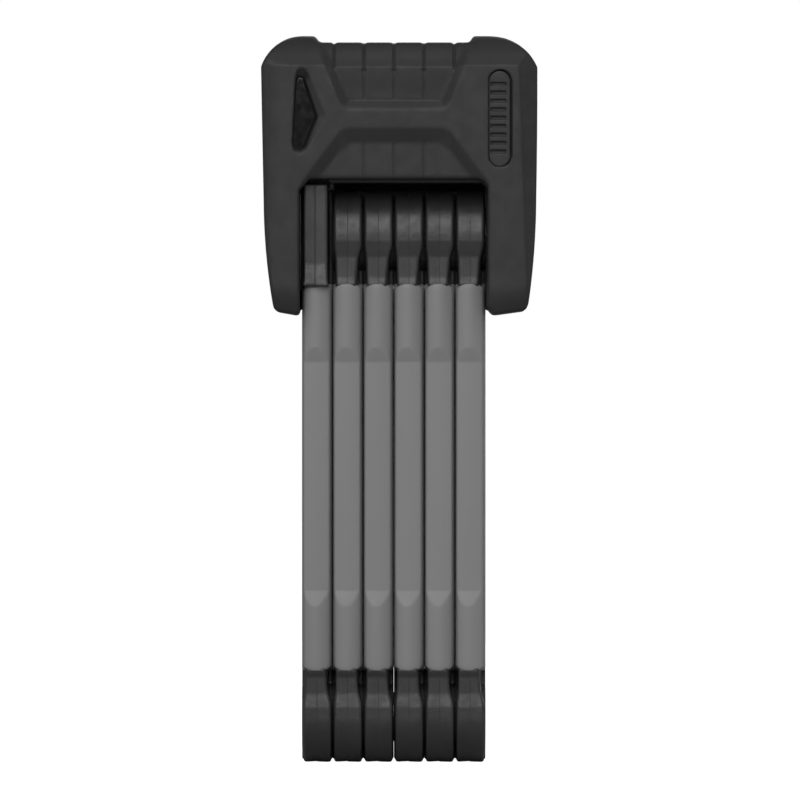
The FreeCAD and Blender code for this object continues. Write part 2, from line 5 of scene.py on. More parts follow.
import bpy
import numpy as np
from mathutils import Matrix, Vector


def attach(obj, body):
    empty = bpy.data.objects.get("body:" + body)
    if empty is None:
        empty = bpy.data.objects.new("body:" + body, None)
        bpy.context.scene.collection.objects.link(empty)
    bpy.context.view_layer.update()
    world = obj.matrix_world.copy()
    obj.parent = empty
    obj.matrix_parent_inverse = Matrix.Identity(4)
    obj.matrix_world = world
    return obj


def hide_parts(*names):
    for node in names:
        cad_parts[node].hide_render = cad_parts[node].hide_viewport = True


MM = 0.001

# The bars. Their pivots are the frame's; the covers stand 0.2 further left than the CAD ones.
BARS = 6
PITCH = 8.7
STACK_X = -1.77
LOW_PIVOT_Z = 13.0
HIGH_PIVOT_Z = 149.7
COVER_R = 13.0
WAIST_HALF_W = 11.7
SLEEVE_T = 8.22
SLEEVE_Z = (26.5, 135.9)
LOW_RAMP_Z = (44.5, 49.0)
HIGH_RAMP_Z = (114.0, 118.3)
CAP_BORE_R = 7.3

# Flat tongues on the sides of the sleeves and caps, which close the gaps between the bars.
TONGUE_HALF_T = 4.345
TONGUE_HALF_W = 6.5

# Both ends of a bar, as end_cap takes them.
UPPER_END = (HIGH_PIVOT_Z, 1.0, (1.4, 5.8), 0.85, HIGH_PIVOT_Z - SLEEVE_Z[1], 12.97)
LOWER_END = (LOW_PIVOT_Z, -1.0, (3.0, 6.8), 0.6, SLEEVE_Z[0] - LOW_PIVOT_Z, 12.0)

# The sides of bars 3 and 4 that face each other, and what is different in their tongues.
OPEN_SIDES = {3: -1, 4: 1}
UPPER_SKEW = 0.003
LOWER_GAP = 0.035

# The locking end of the last bar, with x as in the head.
TIP_X = -24.1
TIP_TOP_Z = 164.5
TIP_NECK_X = (-27.1, -20.35)
TIP_NECK_TOP_Z = 167.4

# The head. CEILING_Z is the top of its opening; the space inside follows the case's lower ceiling.
HALF_DEPTH = 20.5
WALL = 2.2
FACE_WALL = 4.0
CEILING_Z = 165.8
CASE_CEILING_Z = 165.0
POCKET_X = (-28.5, 24.8)
LEG_BOTTOM_Z = 127.4
TOP_Z = 207.0
MIDDLE_TOP_Z = 204.8
RIDGE_Z = 198.0
PANEL_DEPTH = 1.2
GROOVE_X = (-18.7, -10.2, -1.7, 6.8, 15.4)
GROOVE_HALF_W = 0.9
SCREWS = ((-31.5, 192.0), (31.0, 192.0), (-32.0, 168.0), (31.0, 138.5))
SCREW_HEAD_R = 2.9
SCREW_SHANK_R = 1.6
SCREW_SEAT_DEPTH = 18.9
POST_R = 3.8
POST_DEPTH = 13.6

# Openings in the head: keyhole cover, bore of the first hinge, slot of the locking tip.
SHUTTER_X, SHUTTER_HALF_L, SHUTTER_HALF_W = -2.75, 14.55, 8.2
SHUTTER_FLOOR_Z = 201.4
HINGE_BORE_X, HINGE_BORE_HALF_L = 25.6, 2.0
SLOT_X, SLOT_HALF_W, SLOT_HALF_DEPTH = -23.65, 3.55, 8.7
SLOT_TOP_Z = 184.6

# Blocks inside the opening, which close the sight lines past the bars: (from, to) across, in depth
# and in height. The rear lip's lower edge slants down towards the rear.
BLOCK_TOP_Z = 168.0
LIP_X = (-20.3, POCKET_X[1] + 1.0)
RIGHT_RIB = ((24.4, 26.2), (8.1, 12.3), (128.8, BLOCK_TOP_Z))
FRONT_LIP = (LIP_X, (13.7, 15.4), (164.7, BLOCK_TOP_Z))
FRONT_LEG_PAD = ((-29.5, -27.7), (8.0, 12.0), (134.6, 137.2))
FRONT_TIP_PAD = ((-20.3, -18.6), (9.2, 12.6), (162.8, BLOCK_TOP_Z))
REAR_LEG_PAD = ((-29.5, -27.89), (1.0, 6.4), (128.8, 135.4))
REAR_LIP_DEPTH = (13.9, 19.0)
REAR_LIP_Z = 162.25
REAR_LIP_SLANT = 0.1

# Outlines on the head's face: the two sunk fields, the window's rim and its insert.
UPPER_FIELD = [(-21.2, 197.6), (-16.6, 186.6), (-15.4, 185.6), (12.4, 185.6), (13.6, 186.6), (18.2, 197.4),
               (21.4, 207.5), (21.4, 214.0), (-25.2, 214.0), (-25.2, 207.5)]
LOWER_FIELD = [(-17.0, 179.3), (-15.2, 180.2), (12.4, 180.2), (14.2, 179.3), (25.2, 164.8), (25.2, 150.0),
               (-28.0, 150.0), (-28.0, 164.8)]
WINDOW_OUTER = [(-29.75, 194.6), (-29.2, 196.6), (-27.9, 197.5), (-26.5, 196.8), (-20.7, 183.5),
                (-26.8, 173.6), (-28.7, 172.6), (-30.2, 173.4), (-30.6, 175.6)]
WINDOW_INNER = [(-29.4, 193.4), (-28.7, 194.7), (-27.3, 194.6), (-23.5, 183.4), (-26.9, 175.0),
                (-28.5, 173.9), (-29.9, 174.5), (-30.35, 176.2)]
WINDOW_DEPTH = 2.4
BADGE_X = 28.35
BADGE_Z = (169.2, 196.8)
BADGE_R = 3.25
BADGE_PLATE_R = 3.0
BADGE_BARS = 9
BADGE_BAR_Z = (173.5, 192.6)
BADGE_BAR_HALF_L, BADGE_BAR_HALF_W = 2.15, 0.5

# The sliding keyhole cover.
SLIDER_X = 3.0
SLIDER_HALF_L, SLIDER_HALF_W = 6.45, 6.2
SLIDER_Z = (203.15, 204.55)
SLIDER_RIB_PITCH = 2.2

# Stage, in metres, and the camera's lens in millimetres.
FLOOR_R = 6.0
LIGHT_TARGET = (0.0, 0.0, 0.12)
CAMERA_AT = (0.0, -3.0, 0.1032)
CAMERA_LENS = 473.6


def bar_x(bar):
    return STACK_X + PITCH * (0.5 * (BARS + 1) - bar)


# ------------------------------------------------------------------------------- node materials

def srgb(level):
    """Linear value of an 8-bit display level."""
    value = level / 255.0
    return value / 12.92 if value <= 0.04045 else ((value + 0.055) / 1.055) ** 2.4


def grey(level, tint=(1.0, 1.0, 1.0)):
    value = srgb(level)
    return (value * tint[0], value * tint[1], value * tint[2], 1.0)


class Surface:
    """A node material built around one Principled shader."""

    def __init__(self, name, rough, metal=0.0, specular=0.5):
        self.material = bpy.data.materials.new(name)
        self.material.use_nodes = True
        self.nodes = self.material.node_tree.nodes
        self.links = self.material.node_tree.links
        self.shader = next(node for node in self.nodes if node.type == "BSDF_PRINCIPLED")
        self.shader.inputs["Roughness"].default_value = rough
        self.shader.inputs["Metallic"].default_value = metal
        self.shader.inputs["Specular IOR Level"].default_value = specular
        self.coords = self.nodes.new("ShaderNodeTexCoord").outputs["Object"]
        self.normal = None

    def mapped(self, stretch):
        mapping = self.nodes.new("ShaderNodeMapping")
        mapping.inputs["Scale"].default_value = stretch
        self.links.new(self.coords, mapping.inputs["Vector"])
        return mapping.outputs["Vector"]

    def noise(self, scale, detail=3.0, roughness=0.55, stretch=(1.0, 1.0, 1.0)):
        node = self.nodes.new("ShaderNodeTexNoise")
        node.inputs["Scale"].default_value = scale
        node.inputs["Detail"].default_value = detail
        node.inputs["Roughness"].default_value = roughness
        self.links.new(self.mapped(stretch), node.inputs["Vector"])
        return node.outputs["Fac"]

    def ramp(self, value, low, high, start=0.3, end=0.7):
        node = self.nodes.new("ShaderNodeValToRGB")
        node.color_ramp.elements[0].position = start
        node.color_ramp.elements[0].color = low
        node.color_ramp.elements[1].position = end
        node.color_ramp.elements[1].color = high
        self.links.new(value, node.inputs["Fac"])
        return node.outputs["Color"]

    def level(self, value, low, high, start=0.3, end=0.7):
        node = self.nodes.new("ShaderNodeMapRange")
        node.inputs["From Min"].default_value = start
        node.inputs["From Max"].default_value = end
        node.inputs["To Min"].default_value = low
        node.inputs["To Max"].default_value = high
        self.links.new(value, node.inputs["Value"])
        return node.outputs["Result"]

    def colour(self, output):
        self.links.new(output, self.shader.inputs["Base Color"])

    def roughness(self, output):
        self.links.new(output, self.shader.inputs["Roughness"])

    def bump(self, height, depth, strength=1.0):
        """Depth is in metres. Calls stack one bump on the other."""
        node = self.nodes.new("ShaderNodeBump")
        node.inputs["Strength"].default_value = strength
        node.inputs["Distance"].default_value = depth
        self.links.new(height, node.inputs["Height"])
        if self.normal is not None:
            self.links.new(self.normal, node.inputs["Normal"])
        self.normal = node.outputs["Normal"]
        self.links.new(self.normal, self.shader.inputs["Normal"])


def soft_touch_material():
    """Matt black moulding with a fine spark-eroded grain."""
    surface = Surface("soft_touch_black", 0.55, specular=0.5)
    surface.colour(surface.ramp(surface.noise(90.0, 4.0), grey(41), grey(45)))
    surface.roughness(surface.level(surface.noise(260.0, 2.0), 0.5, 0.62))
    surface.bump(surface.noise(3200.0, 2.0), 0.00004, 0.35)
    surface.bump(surface.noise(60.0, 2.0), 0.0002, 0.12)
    return surface.material


def sleeve_material():
    """Grey satin plastic with a faint vertical flow from the mould."""
    surface = Surface("sleeve_grey", 0.48, specular=0.4)
    surface.colour(surface.ramp(surface.noise(55.0, 4.0, stretch=(1.0, 1.0, 0.12)), grey(146), grey(151)))
    surface.roughness(surface.level(surface.noise(300.0, 2.0, stretch=(1.0, 1.0, 0.2)), 0.42, 0.54))
    surface.bump(surface.noise(2600.0, 2.0), 0.00003, 0.3)
    return surface.material


def cap_material():
    """Black nylon with a coarse glittering grain."""
    surface = Surface("cap_black", 0.42, specular=0.62)
    tint = (1.03, 1.0, 0.99)
    surface.colour(surface.ramp(surface.noise(120.0, 5.0), grey(48, tint), grey(57, tint)))
    surface.roughness(surface.level(surface.noise(420.0, 3.0), 0.33, 0.52))
    surface.bump(surface.noise(1500.0, 3.0), 0.00008, 0.6)
    return surface.material


def gloss_material():
    """Glossy smoked insert."""
    surface = Surface("window_gloss", 0.16, specular=0.32)
    surface.colour(surface.ramp(surface.noise(140.0, 3.0), grey(25), grey(32, (1.0, 1.0, 1.06))))
    surface.roughness(surface.level(surface.noise(500.0, 3.0), 0.08, 0.24))
    surface.bump(surface.noise(700.0, 2.0), 0.00003, 0.25)
    return surface.material


def steel_material(name, level, rough, scratch):
    """Ground steel; the scratches run up and down the bar."""
    surface = Surface(name, rough, metal=1.0)
    streaks = surface.noise(700.0, 3.0, stretch=(1.0, 1.0, 0.05))
    surface.colour(surface.ramp(surface.noise(80.0, 4.0), grey(level - 12), grey(level + 6)))
    surface.roughness(surface.level(streaks, rough - 0.08, rough + 0.12))
    surface.bump(streaks, 0.00003, scratch)
    return surface.material


def brass_material():
    surface = Surface("plug_brass", 0.3, metal=1.0)
    dull, bright = (0.42, 0.27, 0.09, 1.0), (0.55, 0.37, 0.14, 1.0)
    surface.colour(surface.ramp(surface.noise(150.0, 4.0), dull, bright))
    surface.roughness(surface.level(surface.noise(500.0, 3.0), 0.22, 0.42))
    surface.bump(surface.noise(1400.0, 2.0), 0.00003, 0.3)
    return surface.material


def screw_material():
    surface = Surface("screw_black", 0.4, metal=0.8)
    surface.colour(surface.ramp(surface.noise(300.0, 4.0), grey(30), grey(44)))
    surface.roughness(surface.level(surface.noise(700.0, 3.0), 0.3, 0.5))
    surface.bump(surface.noise(1800.0, 2.0), 0.00003, 0.4)
    return surface.material


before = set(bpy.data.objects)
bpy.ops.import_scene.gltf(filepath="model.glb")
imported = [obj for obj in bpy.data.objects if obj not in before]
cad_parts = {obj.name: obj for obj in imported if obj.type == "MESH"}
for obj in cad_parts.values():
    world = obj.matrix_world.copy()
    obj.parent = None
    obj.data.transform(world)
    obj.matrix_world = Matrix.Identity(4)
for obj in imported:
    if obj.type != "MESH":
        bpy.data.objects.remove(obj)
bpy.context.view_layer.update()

SOFT_TOUCH = soft_touch_material()
SLEEVE = sleeve_material()
CAP = cap_material()
GLOSS = gloss_material()
HARDENED = steel_material("hardened_steel", 120, 0.38, 0.5)
PLATED = steel_material("plated_steel", 165, 0.27, 0.2)
BRASS = brass_material()
SCREW = screw_material()


def node_material(name):
    """Material of a CAD node, chosen by what the node is made of."""
    if name.startswith("steel_bar") or name == "lock_case":
        return HARDENED
    if name in ("front_cover", "rear_cover", "badge_plate"):
        return SOFT_TOUCH
    if name.startswith("sleeve"):
        return SLEEVE
    if "cap" in name or name in ("shutter_frame", "keyhole_shutter"):
        return CAP
    if name == "window_insert":
        return GLOSS
    if name in ("key_plug", "cylinder_body", "detainer_discs"):
        return BRASS
    if name == "cover_screws":
        return SCREW
    return PLATED


for node_name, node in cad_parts.items():
    material = node_material(node_name)
    for index in range(len(node.data.materials)):
        node.data.materials[index] = material


# ------------------------------------------------------------------------- meshes from a field

def surface_net(field, axes):
    """Vertices and outward quads of the zero level of a field (inside negative) on a box grid."""
    inside = field < 0.0
    cell_shape = tuple(length - 1 for length in field.shape)
    strides = (cell_shape[1] * cell_shape[2], cell_shape[2], 1)
    owners, points, loops = [], [], []
    for axis in range(3):
        u, v = (axis + 1) % 3, (axis + 2) % 3
        low = tuple(slice(None, -1) if d == axis else slice(None) for d in range(3))
        high = tuple(slice(1, None) if d == axis else slice(None) for d in range(3))
        where = np.nonzero(inside[low] != inside[high])
        value_low, value_high = field[low][where], field[high][where]
        point = np.stack([axes[d][where[d]] for d in range(3)], axis=1)
        step = axes[axis][where[axis] + 1] - axes[axis][where[axis]]
        point[:, axis] += step * value_low / (value_low - value_high)
        base = sum(where[d] * strides[d] for d in range(3))
        around = [base - a * strides[u] - b * strides[v] for a, b in ((1, 1), (0, 1), (0, 0), (1, 0))]
        quad = np.stack(around, axis=1)
        flip = ~inside[low][where]
        quad[flip] = quad[flip][:, ::-1]
        loops.append(quad)
        for cell in around:
            owners.append(cell)
            points.append(point)
    owner = np.concatenate(owners)
    point = np.concatenate(points)
    used, slot = np.unique(owner, return_inverse=True)
    count = np.bincount(slot)
    vertices = np.stack([np.bincount(slot, weights=point[:, d]) / count for d in range(3)], axis=1)
    faces = np.searchsorted(used, np.concatenate(loops))
    return vertices, faces


def smooth_max(a, b, radius):
    """Larger of two fields, with the edge between them rounded."""
    blend = np.clip(0.5 + 0.5 * (a - b) / radius, 0.0, 1.0)
    return b + (a - b) * blend + radius * blend * (1.0 - blend)


def smooth_min(a, b, radius):
    return -smooth_max(-a, -b, radius)


def overlap(*fields):
    """Field of the space that lies inside every one of the fields."""
    return functools.reduce(np.maximum, fields)


def slab(low, value, high):
    """Field of the layer in which the value lies between low and high."""
    return np.maximum(low - value, value - high)


def block(bounds, x, deep, z):
    """Field of a block, given as (from, to) across, in depth and in height."""
    return overlap(*(slab(low, value, high) for (low, high), value in zip(bounds, (x, deep, z))))


def polygon_distance(points, u, v):
    """Signed distance to a closed polygon, negative inside."""
    u, v = np.broadcast_arrays(u, v)
    nearest = np.full(u.shape, np.inf)
    crossed = np.zeros(u.shape, dtype=bool)
    for (u0, v0), (u1, v1) in zip(points, points[1:] + points[:1]):
        du, dv = u1 - u0, v1 - v0
        along = np.clip(((u - u0) * du + (v - v0) * dv) / (du * du + dv * dv), 0.0, 1.0)
        nearest = np.minimum(nearest, (u - u0 - along * du) ** 2 + (v - v0 - along * dv) ** 2)
        if dv:
            crossed ^= ((v0 > v) != (v1 > v)) & (u < u0 + (v - v0) * du / dv)
    return np.where(crossed, -1.0, 1.0) * np.sqrt(nearest)


def arc(start, middle, end, count=10):
    """Points from start up to, but not including, end on the circle through all three."""
    (x0, y0), (x1, y1), (x2, y2) = start, middle, end
    a, b, c, d = x1 - x0, y1 - y0, x2 - x0, y2 - y0
    e, f = a * (x0 + x1) + b * (y0 + y1), c * (x0 + x2) + d * (y0 + y2)
    g = 2.0 * (a * (y2 - y1) - b * (x2 - x1))
    cx, cy = (d * e - b * f) / g, (a * f - c * e) / g
    first = math.atan2(y0 - cy, x0 - cx)
    turns = [math.atan2(y - cy, x - cx) - first for x, y in (middle, end)]
    half, whole = [turn % (2.0 * math.pi) for turn in turns]
    if half > whole:
        whole -= 2.0 * math.pi
    radius = math.hypot(x0 - cx, y0 - cy)
    angles = [first + whole * k / count for k in range(count)]
    return [(cx + radius * math.cos(angle), cy + radius * math.sin(angle)) for angle in angles]


def spaced(stops):
    """A grid axis from (position, spacing up to the next position) pairs."""
    values = []
    for (low, step), (high, _) in zip(stops, stops[1:]):
        count = max(1, int(round((high - low) / step)))
        values.extend(low + (high - low) * k / count for k in range(count))
    values.append(stops[-1][0])
    return np.array(values)


def ease(value):
    """Smooth step from 0 to 1."""
    value = np.clip(value, 0.0, 1.0)
    return value * value * (3.0 - 2.0 * value)


def add_piece(name, vertices, faces, material, body, nodes, slot, shift=(0.0, 0.0, 0.0)):
    """A smooth-shaded mesh, given in millimetres, that stands for CAD nodes."""
    mesh = bpy.data.meshes.new(name)
    points = (np.asarray(vertices, dtype=float) + shift) * MM
    mesh.from_pydata(points.tolist(), [], [list(map(int, face)) for face in faces])
    mesh.polygons.foreach_set("use_smooth", [True] * len(mesh.polygons))
    mesh.materials.append(material)
    mesh.update()
    piece = bpy.data.objects.new(name, mesh)
    bpy.context.collection.objects.link(piece)
    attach(piece, body)
    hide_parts(*nodes)


# ------------------------------------------------------------------------------------ the head

def head_outline(ceiling):
    """Front outline of the head, with the small V notches in its top edge."""
    left_in, right_in = POCKET_X
    points = arc((-36.0, 129.9), (-38.0, 145.5), (-38.65, 160.0))
    points += arc((-38.65, 160.0), (-39.0, 177.0), (-39.4, 197.6), 4)
    points += arc((-39.4, 197.6), (-35.9, 203.2), (-28.0, TOP_Z), 16)
    points += [(-28.0, TOP_Z), (-24.2, TOP_Z), (-23.7, TOP_Z - 0.8), (-23.1, TOP_Z - 1.8)]
    points += [(-22.3, MIDDLE_TOP_Z)]
    for x in GROOVE_X:
        points += [(x - GROOVE_HALF_W, MIDDLE_TOP_Z), (x, MIDDLE_TOP_Z - 0.5)]
        points += [(x + GROOVE_HALF_W, MIDDLE_TOP_Z)]
    points += [(19.5, MIDDLE_TOP_Z), (20.1, MIDDLE_TOP_Z + 0.6), (20.7, TOP_Z - 0.25), (21.1, TOP_Z)]
    points += arc((24.0, TOP_Z), (34.4, 203.5), (39.0, 197.6), 16)
    points += arc((39.0, 197.6), (38.9, 177.0), (38.65, 160.0), 4)
    points += arc((38.65, 160.0), (38.1, 146.0), (36.4, 130.4))
    points += [(36.4, 130.4), (35.9, 129.2), (35.2, 128.5), (27.2, LEG_BOTTOM_Z), (26.2, 127.6)]
    points += [(25.3, 128.6), (right_in, 130.0)]
    points += arc((right_in, ceiling - 3.6), (right_in - 0.9, ceiling - 0.9), (right_in - 3.6, ceiling), 8)
    points += [(right_in - 3.6, ceiling), (left_in + 2.9, ceiling), (left_in, ceiling - 3.2)]
    points += [(left_in, 128.4), (-29.1, 127.5), (-29.8, LEG_BOTTOM_Z), (-34.9, 128.3), (-35.6, 128.9)]
    return points


def side_profile():
    """Half depth over height: a flat face, a bevel above the ridge, a round shoulder and a flat top."""
    points = [(0.0, 100.0), (HALF_DEPTH, 100.0), (HALF_DEPTH, RIDGE_Z)]
    points += arc((18.6, 200.4), (14.6, 204.4), (9.5, 206.6), 8)
    points += [(9.5, 206.6), (6.0, TOP_Z), (0.0, TOP_Z)]
    return points


def pill_distance(x, z, radius):
    low, high = BADGE_Z[0] + BADGE_R, BADGE_Z[1] - BADGE_R
    return np.hypot(x - BADGE_X, z - np.clip(z, low, high)) - radius


def soften(values):
    """Small blur over the grid, which rounds the edges of the recesses."""
    for axis in (0, 1):
        low = np.roll(values, 1, axis)
        high = np.roll(values, -1, axis)
        values = 0.25 * low + 0.5 * values + 0.25 * high
    return values


def panel_depth(x, z, front):
    """How far the face lies below the flat front of the head, over the (x, z) grid."""
    upper = np.clip(-polygon_distance(UPPER_FIELD, x, z) / 2.3, 0.0, 1.0)
    width = 3.2 + 0.9 * ease((x + 17.5) / 2.0) * ease((14.5 - x) / 2.0)
    lower = np.clip(-polygon_distance(LOWER_FIELD, x, z) / width, 0.0, 1.0)
    upper_depth = PANEL_DEPTH + 0.5 * ease((198.0 - z) / 9.0) - 0.6 * ease((z - 199.5) / 5.0)
    depth = upper * upper_depth + lower * (PANEL_DEPTH + 0.25)
    depth = soften(depth)
    for index, groove in enumerate(GROOVE_X):
        line = np.exp(-((x - groove) / 0.28) ** 2)
        band = ease((z - 196.3) / 1.2)
        depth = depth + 0.42 * line * band
        if 0 < index < len(GROOVE_X) - 1:
            floors = ease((z - 187.9) / 0.8) * (1.0 - band) + ease((176.4 - z) / 0.8)
            depth = depth + 0.2 * line * floors
            dimple = np.exp(-((x - groove) ** 2 + (z - 196.5) ** 2) / 0.35)
            depth = depth + 0.3 * dimple
    seam = np.exp(-((z - 188.1) / 0.3) ** 2) * ease((x + 15.6) / 0.6) * ease((12.6 - x) / 0.6)
    depth = depth + 0.16 * seam
    if front:
        within = np.maximum(-polygon_distance(WINDOW_OUTER, x, z), 0.0)
        hole = polygon_distance(WINDOW_INNER, x, z)
        rim = (0.75 + 1.4 * ease((z - 192.5) / 3.0)) * within / (within + np.maximum(hole, 0.0) + 1e-6)
        depth = depth + rim + (WINDOW_DEPTH - rim) * ease(0.5 - hole / 0.5)
        depth = depth + 1.2 * ease(-pill_distance(x, z, BADGE_R + 0.05) / 0.35)
    return depth


def cover_grid():
    """Grid of a head cover, finest at the grooves: across, depth from the parting plane, height."""
    stops = [(-40.2, 0.55), (-31.2, 0.37), (-20.6, 0.54)]
    for groove in GROOVE_X:
        stops += [(groove - GROOVE_HALF_W, 0.23), (groove + GROOVE_HALF_W, 0.6)]
    xs = spaced(stops + [(24.0, 0.5), (35.4, 0.55), (40.2, 0.55)])
    depths = spaced([(-0.6, 0.3), (0.9, 1.5), (12.9, 0.58), (17.2, 0.42), (21.2, 0.42)])
    zs = spaced([(126.6, 0.5), (132.6, 0.74), (161.4, 0.46), (195.9, 0.3), (199.2, 0.44), (208.0, 0.44)])
    return xs, depths, zs


def bevelled(shell, x, deep, z):
    """The shell with the bevels along its two flanks and at the feet of its legs."""
    right_ridge = 33.9 + 0.036 * (RIDGE_Z - z)
    left_ridge = -34.7 - 0.04 * (192.0 - z)
    heel = 131.7 + 0.18 * (np.abs(x) - 25.3)
    shell = smooth_max(shell, (x - right_ridge + deep - HALF_DEPTH) * math.sqrt(0.5), 0.5)
    shell = smooth_max(shell, (left_ridge - x) * 0.28 + (deep - HALF_DEPTH) * 0.96, 0.8)
    return smooth_max(shell, (deep - HALF_DEPTH) * 0.95 + (heel - z) * 0.31, 0.9)


def hollow(profile, x, deep, z):
    """The space inside the shell, with a post left standing at each screw."""
    inner = polygon_distance(head_outline(CASE_CEILING_Z), x, z)
    cavity = np.maximum(inner + WALL, profile + FACE_WALL)
    post = np.full((1, 1, 1), np.inf)
    for screw_x, screw_z in SCREWS:
        post = np.minimum(post, np.hypot(x - screw_x, z - screw_z) - POST_R)
    return np.maximum(cavity, -np.maximum(post, POST_DEPTH - deep))


def sight_blocks(side, deep):
    """The blocks inside the opening that belong to one cover."""
    if side < 0:
        return RIGHT_RIB, FRONT_LIP, FRONT_LEG_PAD, FRONT_TIP_PAD
    lip_bottom = REAR_LIP_Z - REAR_LIP_SLANT * (deep - REAR_LIP_DEPTH[0])
    return RIGHT_RIB, REAR_LEG_PAD, (LIP_X, REAR_LIP_DEPTH, (lip_bottom, BLOCK_TOP_Z))


def openings(side, x, deep, z):
    """What is cut through one cover. The slot is open to the rear, and the screws sit in the rear cover."""
    slot_end = SLOT_HALF_DEPTH if side < 0 else 2.0 * HALF_DEPTH
    cuts = [
        overlap(np.abs(x - SHUTTER_X) - SHUTTER_HALF_L, deep - SHUTTER_HALF_W, SHUTTER_FLOOR_Z - z),
        overlap(np.hypot(deep, z - HIGH_PIVOT_Z) - CAP_BORE_R, np.abs(x - HINGE_BORE_X) - HINGE_BORE_HALF_L),
        overlap(np.abs(x - SLOT_X) - SLOT_HALF_W, deep - slot_end, z - SLOT_TOP_Z),
    ]
    if side > 0:
        for screw_x, screw_z in SCREWS:
            away = np.hypot(x - screw_x, z - screw_z)
            cuts.append(overlap(away - SCREW_HEAD_R, SCREW_SEAT_DEPTH - deep))
            cuts.append(away - SCREW_SHANK_R)
    return cuts


def head_cover(side):
    """Mesh of one half of the head's cover; side is -1 for the front, 1 for the rear."""
    xs, depths, zs = cover_grid()
    x, deep, z = xs[:, None, None], depths[None, :, None], zs[None, None, :]
    recess = panel_depth(xs[:, None], zs[None, :], side < 0)[:, None, :]
    parting_groove = 0.3 * np.exp(-(deep / 0.35) ** 2)
    outline = polygon_distance(head_outline(CEILING_Z), x, z) + parting_groove
    profile = polygon_distance(side_profile(), np.abs(deep), z)
    shell = bevelled(smooth_max(outline, profile + recess, 1.0), x, deep, z)
    shell = overlap(shell, -hollow(profile, x, deep, z), -deep)
    for bounds in sight_blocks(side, deep):
        shell = np.minimum(shell, block(bounds, x, deep, z))
    for cut in openings(side, x, deep, z):
        shell = smooth_max(shell, -cut, 0.3)
    vertices, faces = surface_net(shell, (xs, depths, zs))
    vertices[:, 1] *= side
    if side < 0:
        faces = faces[:, ::-1]
    return vertices, faces


for side, label in ((-1, "front_cover"), (1, "rear_cover")):
    add_piece(label + "_shell", *head_cover(side), SOFT_TOUCH, "head", [label], "soft_touch")


def window_mesh():
    """Glossy insert on the floor of the window, with a gap along its right side."""
    xs = spaced([(-31.0, 0.2), (-23.2, 0.2)])
    ys = spaced([(-20.2, 0.16), (-17.9, 0.16)])
    zs = spaced([(173.2, 0.26), (195.6, 0.26)])
    x, y, z = xs[:, None, None], ys[None, :, None], zs[None, None, :]
    inset = np.interp(x, (-30.0, -28.0, -26.0), (-0.12, 0.1, 0.42))
    edge = polygon_distance(WINDOW_INNER, x, z) + inset
    lean = 0.04 * (z - 184.0)
    body = smooth_max(edge, -19.0 - y - lean, 0.25)
    return surface_net(np.maximum(body, y + 18.0), (xs, ys, zs))


def badge_mesh():
    """Pill-shaped plate with a row of plain engraved bars."""
    xs = spaced([(25.2, 0.17), (31.5, 0.17)])
    ys = spaced([(-20.8, 0.16), (-19.1, 0.16)])
    zs = spaced([(169.1, 0.17), (196.9, 0.17)])
    x, y, z = xs[:, None, None], ys[None, :, None], zs[None, None, :]
    edge = pill_distance(x + 0.14, z + 0.16, BADGE_PLATE_R)
    body = smooth_max(edge, -20.48 - y, 0.3)
    for index in range(BADGE_BARS):
        middle = BADGE_BAR_Z[0] + (BADGE_BAR_Z[1] - BADGE_BAR_Z[0]) * index / (BADGE_BARS - 1)
        bar = overlap(np.abs(z - middle) - BADGE_BAR_HALF_W, np.abs(x - 27.85) - BADGE_BAR_HALF_L, y + 19.65)
        body = smooth_max(body, -bar, 0.14)
    return surface_net(np.maximum(body, y + 19.3), (xs, ys, zs))


def slider_mesh():
    """Sliding keyhole cover: a plate with a dished thumb grip and low ribs in it."""
    xs = spaced([(-4.0, 0.26), (10.0, 0.26)])
    ys = spaced([(-6.8, 0.3), (6.8, 0.3)])
    zs = spaced([(202.8, 0.16), (205.0, 0.16)])
    x, y, z = xs[:, None, None] - SLIDER_X, ys[None, :, None], zs[None, None, :]
    plate = smooth_max(np.abs(x) - SLIDER_HALF_L, np.abs(y) - SLIDER_HALF_W, 1.6)
    from_middle = np.hypot(x, 0.85 * y)
    dish = 0.55 * ease((4.4 - from_middle) / 1.2)
    ribs = 0.35 * np.cos(x * 2.0 * math.pi / SLIDER_RIB_PITCH) * ease((3.4 - from_middle) / 0.8)
    top = SLIDER_Z[1] - dish + np.maximum(ribs, -0.1)
    return surface_net(np.maximum(smooth_max(plate, z - top, 0.3), SLIDER_Z[0] - z), (xs, ys, zs))


for label, mesh, material, body_name, node_name, slot in (
        ("window_gloss_insert", window_mesh(), GLOSS, "head", "window_insert", "gloss_black"),
        ("ribbed_badge", badge_mesh(), SOFT_TOUCH, "head", "badge_plate", "soft_touch"),
        ("keyhole_slider", slider_mesh(), CAP, "shutter", "keyhole_shutter", "black_cap")):
    add_piece(label, *mesh, material, body_name, [node_name], slot)


# ------------------------------------------------------------------------------------ the bars

def crown(x):
    """Half width of a sleeve over its thickness: crowned, and falling off more to the right."""
    slope = 1.2 * ((x + 0.7) / 3.3) ** 2
    return COVER_R - slope - 1.5 * np.clip((np.abs(x) - 3.1) / 1.05, 0.0, 1.0) ** 2.5


